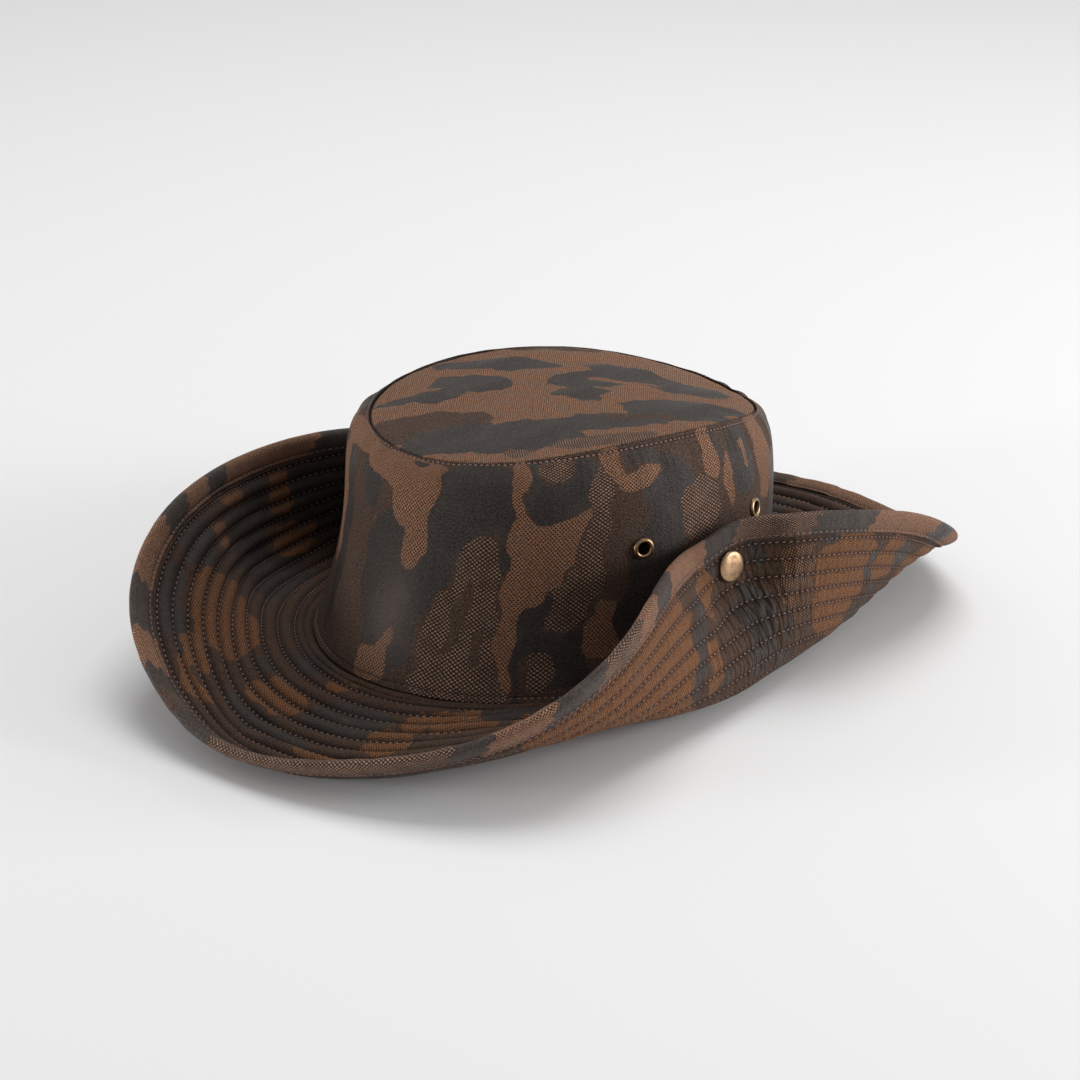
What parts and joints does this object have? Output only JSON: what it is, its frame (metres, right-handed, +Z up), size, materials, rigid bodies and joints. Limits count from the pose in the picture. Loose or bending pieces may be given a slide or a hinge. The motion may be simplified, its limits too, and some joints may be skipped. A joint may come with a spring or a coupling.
{
  "type": "bush hat",
  "caption": "Bush hat with a domed oval crown, vent eyelets and a wide quilted brim that is turned up and snapped to the crown at both sides.",
  "frame": {"origin": "middle of the hat's bounding box, on the surface the hat rests on", "axes": "+Z up, the hat's front towards -Y, the wearer's left towards +X"},
  "size_m": [0.2374, 0.3609, 0.1015],
  "materials": {
    "camo_cloth": "matt dark brown and charcoal camouflage canvas",
    "binding_cloth": "matt dark brown folded canvas",
    "sweatband_cloth": "matt dark maroon brown cotton",
    "antique_brass": "dull antique brass"
  },
  "bodies": {
    "root": {"crown_top": "camo_cloth", "crown_side": "camo_cloth", "brim": "camo_cloth", "brim_binding": "binding_cloth", "sweatband": "sweatband_cloth", "eyelet_left_front": "antique_brass", "eyelet_left_back": "antique_brass", "eyelet_right_front": "antique_brass", "eyelet_right_back": "antique_brass", "snap_cap_left": "antique_brass", "snap_cap_right": "antique_brass", "snap_socket_left": "antique_brass", "snap_socket_right": "antique_brass", "snap_stud_left": "antique_brass", "snap_stud_right": "antique_brass"}
  },
  "joints": []
}
